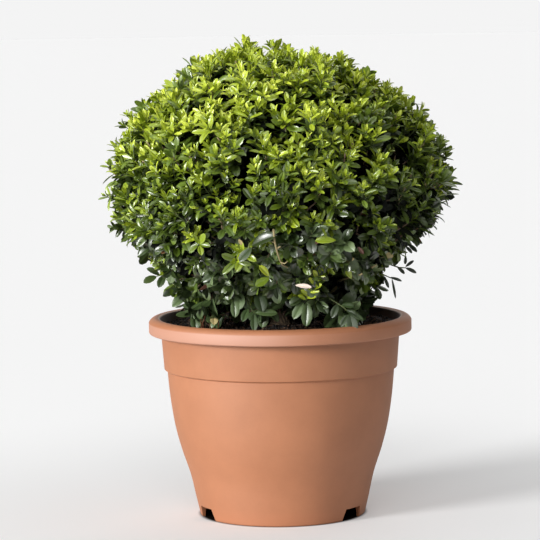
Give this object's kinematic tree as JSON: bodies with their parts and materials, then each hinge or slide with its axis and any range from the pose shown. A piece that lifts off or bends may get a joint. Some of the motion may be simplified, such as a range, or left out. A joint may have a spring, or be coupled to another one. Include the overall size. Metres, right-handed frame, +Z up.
{
  "type": "clipped box shrub in a pot",
  "caption": "Evergreen shrub clipped to a round ball on a short hidden stem, in a round moulded terracotta-coloured plastic pot with a rolled collar and a notched foot.",
  "frame": {"origin": "on the ground, under the middle of the pot", "axes": "+Z up along the pot's axis, -Y the front, +X to the right"},
  "size_m": [0.4371, 0.4378, 0.5974],
  "materials": {
    "pot_plastic": "satin",
    "compost": "rough",
    "bark": "rough",
    "cut_foliage": "satin",
    "old_foliage": "satin"
  },
  "bodies": {
    "root": {"pot": "pot_plastic", "compost": "compost", "main_stem": "bark", "bough_1": "bark", "bough_2": "bark", "bough_3": "bark", "bough_4": "bark", "bough_5": "bark", "bough_6": "bark", "bough_7": "bark", "clipped_crown": "cut_foliage", "skirt_front_left": "old_foliage", "skirt_front_right": "old_foliage", "skirt_over_lip": "old_foliage", "skirt_right": "old_foliage", "skirt_right_rear": "old_foliage", "skirt_rear": "old_foliage", "skirt_left_rear": "old_foliage", "skirt_left": "old_foliage", "skirt_left_front": "old_foliage"}
  },
  "joints": []
}
